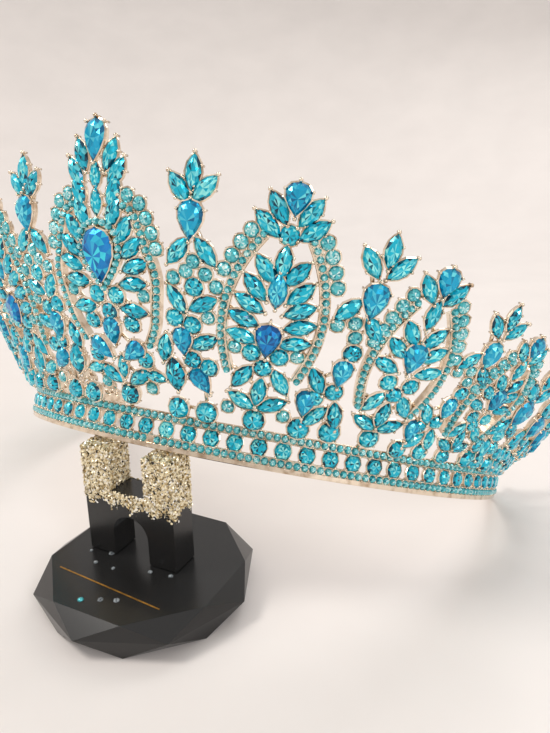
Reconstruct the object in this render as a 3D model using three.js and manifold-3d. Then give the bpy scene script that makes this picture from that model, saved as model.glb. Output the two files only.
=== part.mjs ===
// A pageant crown resting on its small display stand. Millimetres, +Z up.
// The front of the crown faces -Y and the plane X = 0 halves it. The origin is the middle of the
// underside of the stand, on the floor. The front of the band sits on the stand's post, and the two rear
// ends of the open band touch the floor. The crown is made upright round its own axis, then tilted back.
import * as THREE from "three";
import { ConvexGeometry } from "three/addons/geometries/ConvexGeometry.js";
import { mergeVertices } from "three/addons/utils/BufferGeometryUtils.js";
import Module from "manifold-3d";

// Crown as a whole
const crownHeight = 69.7; // of the front motif above the middle of the band, along the axis
const frontHalfWidth = 17.6; // half the width of the front motif
const mainStone = 13.4; // length of the large pear in the front

// Band
const bandRadius = 86; // middle of the band's wall, round the crown's axis
const bandHalfTurn = 102.9; // degrees of band on each side of the front, so the back is open
const bandStones = 48; // round stones in the middle row
const bandStone = 4.6; // across one round stone of the middle row
const bandThick = 2.2; // wall of the two rails
const bandRail = 2.7; // height of each rail, which carries a row of tiny stones
const bandLip = 1.0; // plain edge below the lower rail
const railSteps = 32; // flat steps round each rail
const bandBite = 0.35; // how far a rail laps over the round stones

// Wall above the band. It starts at the middle of the upper rail, and u above there its radius is
// bandRadius + flare u - ease u squared / bandRadius.
const flare = 0.976;
const ease = 0.534;

// Soldered metal
const backPlate = 1.0; // metal behind the stones
const wireWide = 1.3; // solder wire between neighbours
const railWide = 2.2; // strip of an arch, which carries a row of tiny stones
const railThick = 1.9;
const lap = 0.2; // two neighbours that lap this far are soldered without a wire
const cupRim = 0.4; // metal round a stone that is one with it
const seatRim = 0.9; // metal round a stone that is a piece of its own
const seatGap = 0.3; // between such a stone and the metal
const girdleRise = 0.6; // from such a stone's back to its widest line
const bandStoneRise = 0.6; // tables of the band's stones in front of its rails
const bandReach = 9; // degrees of band on each side of a motif that its wires may reach
const bandLug = 1.4; // share of the band's pitch over which a wire may reach the rail
const cutBack = 0.84; // share of its outline that a stone of its own has at the back
const cutTable = 0.55; // share of its outline that a stone of the band has at the table
const seatTip = 1.12; // corners of a seat's hexagon, as shares of its half length and half width
const seatSide = 0.95;
const seatShoulder = 0.5;

// Stand
const baseHeight = 10;
const baseTopRadius = 28.2; // corners of the eight-sided top
const baseWaistRadius = 31.6; // corners of the wider waist, turned half a side
const baseFootRadius = 28.2; // corners of the underside
const baseWaistHeight = 5.8;
const baseSides = 8;
const postHeight = 33;
const postWide = 30;
const postThick = 9;
const columnWide = 9;
const crossbarLow = 13.5; // underside of the crossbar above the base, at the top of its arch
const crossbarHigh = 20.5;
const postSetBack = 2; // from the middle of the base
const postAside = 3.3; // to the left of the middle of the base
const standGap = 0.3; // between the stand's pieces, and under the band

// Stones: wide, long and height of the table above the wall, as shares of mainStone, and the share of the
// outline that the table has
const STONES = {
  //               outline     wide   long   rise   table
  navette:        ["navette", 0.299, 0.597, 0.127, 0.52],
  slimNavette:    ["navette", 0.239, 0.493, 0.112, 0.52],
  blueNavette:    ["navette", 0.343, 0.612, 0.157, 0.52],
  broadNavette:   ["navette", 0.403, 0.687, 0.164, 0.52],
  small:          ["round",   0.261, 0.261, 0.097, 0.55],
  medium:         ["round",   0.351, 0.351, 0.119, 0.55],
  bottom:         ["round",   0.448, 0.448, 0.172, 0.55],
  pear:           ["pear",    0.478, 0.672, 0.187, 0.55],
  shortPear:      ["pear",    0.448, 0.552, 0.172, 0.55],
  darkPear:       ["pear",    0.388, 0.582, 0.164, 0.55],
  crestPear:      ["pear",    0.433, 0.731, 0.179, 0.55],
  heartPear:      ["pear",    0.672, 1.000, 0.239, 0.58],
};

// Motifs, as charts. across is a share of the motif's half width and up a share of its height.
// turn is in degrees, clockwise from upright. Rows with mirror 1 are repeated on the other side.
// own names a stone that is a piece of its own; the others are one with the metal.
const FRONT_ARCH = [
  // stone         across  up     turn  mirror  own
  ["crestPear",     0,     0.925,   0,  0, "crest"],
  ["navette",       0.22,  0.868,  22,  1, ""],
  ["navette",       0.34,  0.785,  32,  1, ""],
  ["navette",       0.32,  0.694,  28,  1, ""],
  ["navette",       0.52,  0.618,  46,  1, ""],
  ["navette",       0.56,  0.520,  76,  1, ""],
  ["heartPear",     0,     0.572,   0,  0, "heart"],
  ["darkPear",      0,     0.335,   0,  0, "drop"],
  ["darkPear",      0.28,  0.272,  50,  1, "side_drop"],
  ["bottom",        0,     0.118,   0,  0, "bottom"],
];
const FRONT_SPIKE = [
  ["navette",       0,     0.935,   0,  0, ""],
  ["navette",      -0.36,  0.888, -38,  0, ""],
  ["navette",       0.36,  0.892,  42,  0, ""],
  ["pear",          0.04,  0.785,   0,  0, "pear"],
  ["navette",      -0.36,  0.665,  38,  0, ""],
  ["navette",       0.48,  0.665, -40,  0, ""],
  ["navette",       0.10,  0.520,  40,  0, ""],
  ["darkPear",     -0.14,  0.374,  -4,  0, "upper_drop"],
  ["broadNavette", -0.44,  0.246,  -8,  0, "broad"],
  ["darkPear",      0.38,  0.236, -36,  0, "lower_drop"],
  ["bottom",       -0.46,  0.110,   0,  0, "bottom_a"],
  ["bottom",        0.46,  0.110,   0,  0, "bottom_b"],
];
const SIDE_ARCH = [
  ["shortPear",     0,     0.950,   0,  0, "crest"],
  ["navette",       0.30,  0.895,  38,  1, ""],
  ["navette",       0.34,  0.685,  48,  1, ""],
  ["navette",       0.48,  0.520,  72,  1, ""],
  ["blueNavette",   0,     0.630,   0,  0, "blue"],
  ["pear",          0,     0.448,   0,  0, "heart"],
  ["navette",       0.30,  0.250,  60,  1, ""],
  ["bottom",        0,     0.122,   0,  0, "bottom"],
];
const SIDE_SPIKE = [
  ["navette",       0.02,  0.930,   0,  0, ""],
  ["navette",      -0.40,  0.875, -38,  0, ""],
  ["navette",       0.44,  0.877,  42,  0, ""],
  ["pear",          0.08,  0.745,   0,  0, "pear"],
  ["navette",       0,     0.575,  40,  0, ""],
  ["darkPear",      0.06,  0.425,   0,  0, "upper_drop"],
  ["darkPear",     -0.58,  0.262,   0,  0, "lower_drop"],
  ["bottom",       -0.45,  0.135,   0,  0, "bottom_a"],
  ["bottom",        0.50,  0.145,   0,  0, "bottom_b"],
];
const LOW_ARCH = [
  ["shortPear",     0,     0.930,   0,  0, "crest"],
  ["navette",       0.36,  0.845,  42,  1, ""],
  ["navette",       0.44,  0.600,  60,  1, ""],
  ["pear",          0,     0.580,   0,  0, "heart"],
  ["medium",        0,     0.350,   0,  0, ""],
  ["bottom",        0,     0.165,   0,  0, ""],
];
const LOW_SPIKE = [
  ["navette",       0,     0.900,   0,  0, ""],
  ["navette",       0.50,  0.770,  40,  1, ""],
  ["pear",          0,     0.610,   0,  0, ""],
  ["darkPear",      0,     0.380,   0,  0, ""],
  ["bottom",        0,     0.180,   0,  0, ""],
];
const SPRIG = [
  ["navette",       0,     0.860,   0,  0, ""],
  ["pear",          0,     0.560,   0,  0, ""],
  ["bottom",        0,     0.270,   0,  0, ""],
];

// Strips that frame an arch, from its shoulder down: shares of its half width and height, and the width
// in shares of the strip's width at its foot. They are wide above, where a row of round stones lies on
// the outside of the tiny ones.
const FRONT_STRIP = [
  // across up     wide
  [0.52,  0.755, 2.2],
  [0.80,  0.695, 2.3],
  [0.91,  0.600, 2.0],
  [0.84,  0.460, 1.0],
  [0.57,  0.300, 1.0],
];
const SIDE_STRIP = [
  [0.55,  0.820, 2.2],
  [0.80,  0.735, 2.3],
  [0.93,  0.610, 2.0],
  [0.84,  0.460, 1.0],
  [0.62,  0.310, 1.0],
];

// The motifs from the front to the rear end. foot and tip are degrees round the axis at the band and at
// the tip. height, along the axis, is a share of crownHeight, and halfWidth a share of frontHalfWidth.
// stones scales the stones of a smaller motif.
const MOTIFS = [
  // name      chart        strip         foot   tip   height halfWidth stones
  ["front",   FRONT_ARCH,  FRONT_STRIP,      0,     0, 1.000, 1.000,   1.00],
  ["spike1",  FRONT_SPIKE, [],            11.5,  12.1, 0.894, 0.477,   1.00],
  ["arch1",   SIDE_ARCH,   SIDE_STRIP,    21.8,  23.5, 0.846, 0.784,   1.00],
  ["spike2",  SIDE_SPIKE,  [],            31.4,  34.6, 0.749, 0.477,   1.00],
  ["arch2",   LOW_ARCH,    SIDE_STRIP,    41.5,  41.8, 0.712, 0.670,   0.95],
  ["spike3",  LOW_SPIKE,   [],            49.6,  52.8, 0.646, 0.432,   0.86],
  ["arch3",   LOW_ARCH,    SIDE_STRIP,    58.0,  59.2, 0.588, 0.580,   0.80],
  ["spike4",  LOW_SPIKE,   [],            66.4,  67.2, 0.516, 0.364,   1.00],
  ["sprig1",  SPRIG,       [],            75.0,  75.6, 0.459, 0.352,   0.92],
  ["sprig2",  SPRIG,       [],            83.0,  83.5, 0.402, 0.330,   0.82],
  ["sprig3",  SPRIG,       [],            90.6,  91.0, 0.344, 0.307,   0.72],
  ["sprig4",  SPRIG,       [],            98.0,  98.3, 0.287, 0.284,   0.62],
];
const OWN_STONES_UP_TO = "arch2"; // past this motif the stones are one with the metal

const wasm = await Module();
wasm.setup();
const { degToRad, radToDeg } = THREE.MathUtils;

const bandPitch = (2 * bandHalfTurn) / bandStones;
const bandPitchLength = bandRadius * degToRad(bandPitch);
const railMiddle = bandStone / 2 + bandRail / 2 - bandBite; // from the band's middle to a rail's middle
const bandBottom = railMiddle + bandRail / 2 + bandLip;
const stoneAzimuths = Array.from({ length: bandStones }, (_, i) => -bandHalfTurn + (i + 0.5) * bandPitch);

function solid(geometry) {
  geometry.deleteAttribute("normal");
  geometry.deleteAttribute("uv");
  const merged = mergeVertices(geometry, 1e-4);
  return new wasm.Manifold(new wasm.Mesh({
    numProp: 3,
    vertProperties: new Float32Array(merged.attributes.position.array),
    triVerts: new Uint32Array(merged.index.array),
  }));
}

function geometryOf(made) {
  const { numProp, vertProperties, triVerts } = made.getMesh();
  const geometry = new THREE.BufferGeometry();
  const array = new THREE.InterleavedBuffer(vertProperties, numProp);
  geometry.setAttribute("position", new THREE.InterleavedBufferAttribute(array, 3, 0));
  geometry.setIndex([...triVerts]);
  return geometry.toNonIndexed();
}

const hull = (points) => solid(new ConvexGeometry(points));

// Radius of the wall's front at height h above the middle of the band
function wallRadius(h) {
  const u = Math.max(h - railMiddle, 0);
  return bandRadius + flare * u - (ease * u * u) / bandRadius;
}

// How far the wall leans out there, as outward over upward
function wallLean(h) {
  return h <= railMiddle ? 0 : flare - (2 * ease * (h - railMiddle)) / bandRadius;
}

// Place on the wall: x runs right, y up the wall, z outwards, all turned clockwise by turn
function seat(azimuth, h, turn = 0) {
  const a = degToRad(azimuth);
  const r = wallRadius(h);
  const lean = wallLean(h);
  const x = new THREE.Vector3(Math.cos(a), Math.sin(a), 0);
  const y = new THREE.Vector3(lean * Math.sin(a), -lean * Math.cos(a), 1).normalize();
  const z = x.clone().cross(y);
  const place = new THREE.Matrix4().makeBasis(x, y, z);
  place.multiply(new THREE.Matrix4().makeRotationZ(-degToRad(turn)));
  return place.setPosition(r * Math.sin(a), -r * Math.cos(a), h);
}

// Outline of a stone, grown all round by grow: eight points, anticlockwise
function outline(kind, wide, long, grow = 0) {
  const w = wide / 2 + grow;
  const l = long / 2 + grow;
  const shapes = {
    round: [[0.924, 0.383], [0.383, 0.924], [-0.383, 0.924], [-0.924, 0.383],
      [-0.924, -0.383], [-0.383, -0.924], [0.383, -0.924], [0.924, -0.383]],
    navette: [[0.9, 0.36], [0, 1], [-0.9, 0.36], [-0.9, -0.36], [0, -1], [0.9, -0.36]],
    pear: [[1, 0.28], [0.74, 0.78], [0, 1], [-0.74, 0.78],
      [-1, 0.28], [-0.66, -0.4], [0, -1], [0.66, -0.4]],
  };
  return shapes[kind].map(([x, y]) => new THREE.Vector2(x * w, y * l));
}

const raise = (ring, z) => ring.map((p) => new THREE.Vector3(p.x, p.y, z));
const shrink = (ring, share) => ring.map((p) => p.clone().multiplyScalar(share));
const at = (points, place) => points.map((p) => p.clone().applyMatrix4(place));

// The wall laid flat: u is the arc at the band and v the height. A point of a stone's own plane goes there
// by the stretch of the wall at the stone's middle, so that it comes back true when the wall is bent.
function toFlat({ azimuth, h, turn }, points) {
  const t = degToRad(turn);
  const across = bandRadius / wallRadius(h);
  const upward = 1 / Math.hypot(1, wallLean(h));
  return points.map(({ x, y }) => new THREE.Vector2(
    degToRad(azimuth) * bandRadius + (x * Math.cos(t) + y * Math.sin(t)) * across,
    h + (y * Math.cos(t) - x * Math.sin(t)) * upward,
  ));
}

// The flat wall bent to its true form: each vertex goes to its place on the wall, z along the normal
function bend(made) {
  const { numProp, vertProperties, triVerts } = made.getMesh();
  const bent = new Float32Array((vertProperties.length / numProp) * 3);
  const point = new THREE.Vector3();
  for (let i = 0; i < bent.length / 3; i++) {
    const [u, v, z] = vertProperties.subarray(i * numProp, i * numProp + 3);
    point.set(0, 0, z).applyMatrix4(seat(radToDeg(u / bandRadius), v));
    point.toArray(bent, 3 * i);
  }
  return new wasm.Manifold(new wasm.Mesh({ numProp: 3, vertProperties: bent, triVerts }));
}

const flatPrism = (ring, low, high) => hull([...raise(ring, low), ...raise(ring, high)]);

// The stones of one motif on one side of the crown
function chartStones([motif, chart, , foot, tip, height, halfWidth, size], side, own) {
  const stones = [];
  const label = foot === 0 ? "" : side > 0 ? "_right" : "_left";
  const ends = foot === 0 ? ["_right", "_left"] : ["_outer", "_inner"];
  for (const [kind, across, up, turn, mirror, name] of chart) {
    const [shape, wide, long, rise, table] = STONES[kind];
    const h = up * height * crownHeight;
    const axis = foot + (tip - foot) * up;
    const aside = radToDeg((across * halfWidth * frontHalfWidth) / wallRadius(h));
    const copies = [[axis + aside, turn, mirror ? ends[0] : ""]];
    if (mirror) copies.push([axis - aside, -turn, ends[1]]);
    for (const [azimuth, turned, copy] of copies)
      stones.push({
        shape, table,
        wide: wide * mainStone * size, long: long * mainStone * size,
        rise: rise * mainStone * Math.sqrt(size),
        azimuth: side * azimuth, h, turn: side * turned,
        name: own && name ? `${motif}_${name}${copy}${label}` : "",
      });
  }
  return stones;
}

// The same for the metal behind a stone that is a piece of its own, as a hexagon round it
function seatOf(stone) {
  const [w, l] = [stone.wide / 2 + seatRim, stone.long / 2 + seatRim];
  const ring = [[seatSide, seatShoulder], [0, seatTip], [-seatSide, seatShoulder],
    [-seatSide, -seatShoulder], [0, -seatTip], [seatSide, -seatShoulder]];
  return toFlat(stone, ring.map(([x, y]) => new THREE.Vector2(x * w, y * l)));
}

const ringOf = (stone, grow) => toFlat(stone, outline(stone.shape, stone.wide, stone.long, grow));

// A stone that is one with the metal: a table with facets round it, on the metal's front
function fusedCrown(stone) {
  const girdle = ringOf(stone, cupRim);
  const middle = toFlat(stone, [{ x: 0, y: 0 }])[0];
  const table = girdle.filter((_, i) => i % 2 === 0)
    .map((p) => p.clone().lerp(middle, 1 - stone.table));
  return hull([...raise(girdle, 0), ...raise(table, stone.rise)]);
}

// A stone that is a piece of its own, over its seat
function ownStone({ shape, wide, long, rise, table }) {
  const girdle = outline(shape, wide, long);
  return new ConvexGeometry([...raise(shrink(girdle, cutBack), seatGap), ...raise(girdle, seatGap + girdleRise),
    ...raise(shrink(girdle, table), rise + seatGap)]);
}

// The strips that frame an arch, as short flat pieces
function stripPieces([, , shares, foot, tip, height, halfWidth], side, hand) {
  const nodes = shares.map(([across, up, widths]) => {
    const h = up * height * crownHeight;
    const aside = radToDeg((hand * across * halfWidth * frontHalfWidth) / wallRadius(h));
    return { azimuth: side * (foot + (tip - foot) * up + aside), h, wide: railWide * widths };
  });
  const edges = nodes.map(({ azimuth, h, wide }, i) => {
    const before = nodes[Math.max(i - 1, 0)];
    const after = nodes[Math.min(i + 1, nodes.length - 1)];
    const along = degToRad(after.azimuth - before.azimuth) * wallRadius(h);
    const rise = (after.h - before.h) * Math.hypot(1, wallLean(h));
    const turn = radToDeg(Math.atan2(along, rise));
    return toFlat({ azimuth, h, turn }, [{ x: -wide / 2, y: 0 }, { x: wide / 2, y: 0 }]);
  });
  return edges.slice(1).map(([left, right], i) => anticlockwise([...edges[i], right, left]));
}

function anticlockwise(ring) {
  return THREE.ShapeUtils.area(ring) < 0 ? ring.slice().reverse() : ring;
}

// Soldering. Outlines that lap by enough hold each other. The nearest ones of groups that are still apart
// get a wire, until the whole motif hangs on the band.
function lapDepth(one, two) {
  let depth = Infinity;
  for (const ring of [one, two])
    ring.forEach((p, i) => {
      const q = ring[(i + 1) % ring.length];
      const away = new THREE.Vector2(q.y - p.y, p.x - q.x).normalize();
      const [a, b] = [one, two].map((r) => r.map((v) => v.dot(away)));
      depth = Math.min(depth, Math.max(...a) - Math.min(...b), Math.max(...b) - Math.min(...a));
    });
  return depth;
}

const middleOf = (ring) => ring
  .reduce((sum, p) => sum.add(p), new THREE.Vector2())
  .divideScalar(ring.length);

function wireRing(one, two) {
  const [from, to] = [middleOf(one), middleOf(two)];
  const along = to.clone().sub(from).setLength(wireWide / 2);
  const aside = new THREE.Vector2(-along.y, along.x);
  return [from.clone().sub(aside), to.clone().sub(aside), to.clone().add(aside), from.clone().add(aside)];
}

function solderWires(rings) {
  const group = rings.map((_, i) => i);
  const find = (i) => (group[i] === i ? i : find(group[i]));
  const pairs = rings.flatMap((one, i) => rings.slice(i + 1)
    .map((two, k) => ({ i, j: i + 1 + k, depth: lapDepth(one, two) })));
  pairs.sort((a, b) => b.depth - a.depth);
  const wires = [];
  for (const { i, j, depth } of pairs) {
    if (find(i) === find(j)) continue;
    group[find(i)] = find(j);
    if (depth < lap) wires.push(wireRing(rings[i], rings[j]));
  }
  return wires;
}

// One motif: the metal behind its stones, the stones that are one with it, and room for the others
function motifSolid(row, side, stones) {
  const strips = [1, -1].flatMap((hand) => stripPieces(row, side, hand));
  const own = stones.filter((s) => s.name);
  const fused = stones.filter((s) => !s.name);
  const seats = stones.map((s) => (s.name ? seatOf(s) : ringOf(s, cupRim)));
  const [, , , foot] = row;
  const nearBand = stoneAzimuths.filter((a) => Math.abs(a - side * foot) < bandReach)
    .map((azimuth) => toFlat({ azimuth, h: railMiddle, turn: 0 }, box2(bandPitchLength * bandLug, bandRail)));
  const metal = [...seats, ...solderWires([...seats, ...strips, ...nearBand])];
  const room = own.map((s) => flatPrism(ringOf(s, seatGap), 0, s.rise + railThick));
  const raised = wasm.Manifold.union([
    ...strips.map((ring) => flatPrism(ring, -backPlate, railThick - backPlate)),
    ...fused.map(fusedCrown),
  ]);
  const clear = own.length ? raised.subtract(wasm.Manifold.union(room)) : raised;
  return bend(clear.add(wasm.Manifold.union(metal.map((ring) => flatPrism(ring, -backPlate, 0)))));
}

// The band: a lower and an upper rail with the round stones between them
function bandRing(low, high) {
  const [inner, outer] = [bandRadius - bandThick / 2, bandRadius + bandThick / 2];
  const position = [];
  for (let i = 0; i <= railSteps; i++) {
    const a = degToRad(bandHalfTurn * ((2 * i) / railSteps - 1));
    for (const [r, z] of [[inner, low], [outer, low], [outer, high], [inner, high]])
      position.push(r * Math.sin(a), -r * Math.cos(a), z);
  }
  const index = [];
  for (let i = 0; i < railSteps; i++)
    for (let j = 0; j < 4; j++) {
      const [a, b] = [4 * i + j, 4 * i + ((j + 1) % 4)];
      index.push(a, a + 4, b, b, a + 4, b + 4);
    }
  const last = 4 * railSteps;
  index.push(0, 1, 2, 0, 2, 3, last, last + 2, last + 1, last, last + 3, last + 2);
  const geometry = new THREE.BufferGeometry();
  geometry.setAttribute("position", new THREE.Float32BufferAttribute(position, 3));
  geometry.setIndex(index);
  return solid(geometry);
}

function bandStoneSolid(azimuth) {
  const girdle = outline("round", bandStone, bandStone);
  const table = shrink(girdle, cutTable).filter((_, i) => i % 2 === 0);
  return hull(at([...raise(girdle, -bandThick / 2), ...raise(table, bandThick / 2 + bandStoneRise)],
    seat(azimuth, 0)));
}

function box2(wide, long) {
  const [w, l] = [wide / 2, long / 2];
  return [[w, -l], [w, l], [-w, l], [-w, -l]].map(([x, y]) => new THREE.Vector2(x, y));
}

// Stand: an eight-sided base with triangular bevels, and a post of two columns with a crossbar
function baseRing(radius, z, turn) {
  return Array.from({ length: baseSides }, (_, i) => {
    const a = (2 * Math.PI * (i + turn)) / baseSides;
    return new THREE.Vector3(radius * Math.sin(a), -radius * Math.cos(a), z);
  });
}

function standBase() {
  return new ConvexGeometry([...baseRing(baseFootRadius, 0, 0.5),
    ...baseRing(baseWaistRadius, baseWaistHeight, 0), ...baseRing(baseTopRadius, baseHeight, 0.5)]);
}

function standPost() {
  const half = postWide / 2;
  const inner = half - columnWide;
  const shape = new THREE.Shape();
  shape.moveTo(-half, 0);
  shape.lineTo(-inner, 0);
  shape.lineTo(-inner, crossbarLow - inner);
  shape.absarc(0, crossbarLow - inner, inner, Math.PI, 0, true);
  shape.lineTo(inner, 0);
  shape.lineTo(half, 0);
  shape.lineTo(half, postHeight);
  shape.lineTo(inner, postHeight);
  shape.lineTo(inner, crossbarHigh);
  shape.lineTo(-inner, crossbarHigh);
  shape.lineTo(-inner, postHeight);
  shape.lineTo(-half, postHeight);
  shape.closePath();
  const geometry = new THREE.ExtrudeGeometry(shape, {
    depth: postThick, bevelEnabled: false, curveSegments: 8,
  });
  return geometry.translate(0, 0, -postThick / 2);
}

// Tilt of the crown: the band's front edge lies over the post, its rear corners on the floor
const postTop = baseHeight + standGap + postHeight;
const frontReach = Math.sqrt((bandRadius - bandThick / 2) ** 2 - (postWide / 2) ** 2);
const rearReach = (bandRadius + bandThick / 2) * Math.cos(degToRad(bandHalfTurn));
const tilt = Math.asin((postTop + standGap) / (frontReach - rearReach));
const lift = bandBottom * Math.cos(tilt) - rearReach * Math.sin(tilt);
const behindPost = bandRadius * Math.cos(tilt) + bandBottom * Math.sin(tilt); // crown's axis at the floor

const metal = { color: 0xd8c29c, roughness: 0.25, metalness: 1 };
const aqua = { color: 0x19b7cf, roughness: 0.08, metalness: 0.1 };
const blue = { color: 0x1183d8, roughness: 0.08, metalness: 0.1 };
const black = { color: 0x0b0b0c, roughness: 0.12, metalness: 0 };

function piece(name, geometry, look) {
  const mesh = new THREE.Mesh(geometry, new THREE.MeshStandardMaterial(look));
  mesh.name = name;
  return mesh;
}

const crown = new THREE.Group();
crown.rotation.x = -tilt;
crown.position.set(-postAside, postSetBack + behindPost, lift);
const railEdge = railMiddle - bandRail / 2;
const soldered = [bandRing(-bandBottom, -railEdge), bandRing(railEdge, railEdge + bandRail),
  ...stoneAzimuths.map(bandStoneSolid)];
const lastOwn = MOTIFS.findIndex(([name]) => name === OWN_STONES_UP_TO);
MOTIFS.forEach((row, i) => {
  for (const side of i === 0 ? [1] : [1, -1]) {
    const stones = chartStones(row, side, i <= lastOwn);
    soldered.push(motifSolid(row, side, stones));
    for (const stone of stones.filter((s) => s.name)) {
      const mesh = piece(stone.name, ownStone(stone), stone.shape === "round" ? aqua : blue);
      mesh.applyMatrix4(seat(stone.azimuth, stone.h, stone.turn));
      crown.add(mesh);
    }
  }
});
crown.add(piece("crown_frame", geometryOf(wasm.Manifold.union(soldered)), metal));

const stand = new THREE.Group();
stand.add(piece("stand_base", standBase(), black));
const post = piece("stand_post", standPost(), black);
post.rotation.x = Math.PI / 2;
post.position.set(-postAside, postSetBack, baseHeight + standGap);
stand.add(post);

const group = new THREE.Group();
group.add(crown, stand);
export default group;
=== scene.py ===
"""A pageant crown of soldered gilt metal and cut glass, leaning on its small black stand.

Sizes in the tables are millimetres, or shares of a motif's size. The meshes are in metres, in the frame of
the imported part: +Z up, the crown faces -Y, the origin in the middle of the underside of the stand.
"""
import collections
import math

import bpy
import numpy as np
from mathutils import Matrix, Vector


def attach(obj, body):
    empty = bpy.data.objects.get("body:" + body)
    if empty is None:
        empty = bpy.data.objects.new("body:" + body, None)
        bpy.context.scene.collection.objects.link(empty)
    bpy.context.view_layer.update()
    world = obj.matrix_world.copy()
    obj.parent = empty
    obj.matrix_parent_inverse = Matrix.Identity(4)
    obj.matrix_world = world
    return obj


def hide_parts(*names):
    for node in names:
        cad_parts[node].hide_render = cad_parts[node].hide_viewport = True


bl_info = {
    "name": "Pageant crown on its stand",
    "version": (1, 0, 0),
    "blender": (4, 5, 0),
    "location": "3D View > Sidebar > Crown",
    "description": "Builds a pageant crown of gilt metal and cut glass round its packed solids",
    "category": "Object",
}

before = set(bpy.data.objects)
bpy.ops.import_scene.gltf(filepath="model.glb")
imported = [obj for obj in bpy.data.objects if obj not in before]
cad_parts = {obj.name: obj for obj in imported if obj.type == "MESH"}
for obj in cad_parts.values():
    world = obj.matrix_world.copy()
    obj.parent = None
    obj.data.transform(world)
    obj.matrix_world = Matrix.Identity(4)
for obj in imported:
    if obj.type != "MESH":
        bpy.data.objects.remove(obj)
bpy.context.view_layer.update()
MM = 0.001

# The crown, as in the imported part, in millimetres and degrees
BAND_RADIUS = 86.0
BAND_HALF_TURN = 102.9
BAND_STONES = 48
BAND_STONE = 4.6
BAND_THICK = 2.2
BAND_RAIL = 2.7
BAND_LIP = 1.0  # plain edge below the lower rail
RAIL_MIDDLE = 3.3  # from the band's middle to a rail's middle
FLARE = 0.976  # how far the wall leans out at the band, as outward over upward
EASE = 0.534  # how fast that lean grows less
BACK_PLATE = 1.0
SEAT_GAP = 0.3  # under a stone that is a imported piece
SEAT = 0.02  # under any other stone
POST_WIDE = 30.0
POST_THICK = 9.0
POST_HEIGHT = 33.0
POST_SET_BACK = 2.0
POST_ASIDE = 3.3  # the post and the crown stand this far left of the base's middle
COLUMN_WIDE = 9.0
CROSSBAR_HIGH = 20.5
BASE_HEIGHT = 10.0
STAND_GAP = 0.3

# The crown's tilt: its front rests on the post, the rear ends of the band touch the floor
POST_TOP = BASE_HEIGHT + POST_HEIGHT + 2 * STAND_GAP
FRONT_REACH = math.sqrt((BAND_RADIUS - BAND_THICK / 2) ** 2 - (POST_WIDE / 2) ** 2)
REAR_REACH = (BAND_RADIUS + BAND_THICK / 2) * math.cos(math.radians(BAND_HALF_TURN))
BAND_BOTTOM = RAIL_MIDDLE + BAND_RAIL / 2 + BAND_LIP
TILT = math.asin(POST_TOP / (FRONT_REACH - REAR_REACH))
LIFT = BAND_BOTTOM * math.cos(TILT) - REAR_REACH * math.sin(TILT)
BEHIND_POST = POST_SET_BACK + BAND_RADIUS * math.cos(TILT) + BAND_BOTTOM * math.sin(TILT)

# The camera of the photo, fitted to the band and the stones
CAMERA_FROM_CROWN = (107.74, -209.66, 108.13)  # from the foot of the crown's axis
CAMERA_TURNS = (26.31, 18.51, -0.55)  # azimuth, pitch down and roll

# Small work that only this scene has
BAND_PLACES = -BAND_HALF_TURN + 2 * BAND_HALF_TURN / BAND_STONES * (np.arange(BAND_STONES) + 0.5)
MISSING_TINY = 3.6  # degrees round the axis: one tiny stone of the lower rail is lost there
TINY_ON_RAIL = 0.79  # width of a rail's tiny stone over the rail's
ROW_PITCH = 1.04  # from one tiny stone of a strip to the next, over its width
HALO_PITCH = 1.03  # the same round the front's large pear
HALO_ASIDE = 0.72  # from that pear's edge to the middles of its ring, in tiny stones
HALO_GROWN = 2.4  # how much wider than the pear the ring's plate is, in tiny stones
RAIL_STEPS = 145
NEAR_FOOT = 9  # degrees on either side of a motif's foot where its wires may reach the rail
GLITTER_FROM = 14.0  # lowest flakes on the post
GLITTER_EDGE = (3.2, 1.3, 0.7)  # mean height above that, waves and raggedness of the flakes' lower edge
GLUE_DROPS = ((-17.2, -4.0), (-5.9, -8.1), (-12.2, -7.9), (4.6, -4.9), (10.9, -4.1), (-0.1, -20.2),
              (3.9, -18.6), (-10.9, -2.5))
LOOSE_STONE = ((-4.8, -22.4),)
LINE_ENDS = ((-19.9, -13.9), (16.1, -16.7))

# Stones: outline, width, length and height of the table above the wall
STONES = {
    "navette": ("navette", 4.0, 8.0, 1.7),
    "slimNavette": ("navette", 3.2, 6.6, 1.5),
    "blueNavette": ("navette", 4.6, 8.2, 2.1),
    "broadNavette": ("navette", 5.4, 9.2, 2.2),
    "small": ("round", 3.5, 3.5, 1.3),
    "medium": ("round", 4.7, 4.7, 1.6),
    "bottom": ("round", 5.8, 5.8, 2.3),
    "pear": ("pear", 6.4, 9.0, 2.5),
    "shortPear": ("pear", 6.0, 7.4, 2.3),
    "darkPear": ("pear", 5.2, 7.8, 2.2),
    "crestPear": ("pear", 5.8, 9.8, 2.4),
    "heartPear": ("pear", 9.0, 13.4, 3.2),
}
TABLE = {"navette": 0.52, "round": 0.55, "pear": 0.57}  # share of the outline that the table has
DEEP_BLUE = ("pear", "shortPear", "darkPear", "crestPear", "heartPear", "blueNavette")

# Facets from the back to the table: the tone of a band's even facets, and what its odd ones have on top
# These tones are painted light: low tones are painted shade, high ones painted reflections on the facets
CUT_FACETS = ((0.1, 0), (0.12, 0), (0.12, 0), (0.42, -0.26), (0.30, 0.30), (0.62, -0.18), (0.5, 0.28),
              (0.34, 0.42))
TINY_FACETS = ((0.1, 0), (0.15, 0), (0.15, 0), (0.35, 0.3), (0.6, -0.3), (0.5, 0.3))

# Claws: degrees round the outline where they stand, and how large their balls are
CLAWS = {"round": (45, 135, 225, 315), "navette": (90, 270, 20, 200), "pear": (270, 90, 30, 150),
         "crest": (270, 90, 50, 130)}
CLAW_SIZE = {90: 1.15, 270: 1.15, 50: 1.05, 130: 1.05}
SMALL_CLAW = 0.85
CLAW_ASIDE = (0.45, 0.22)  # from the outline to a large and to a small claw


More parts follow.
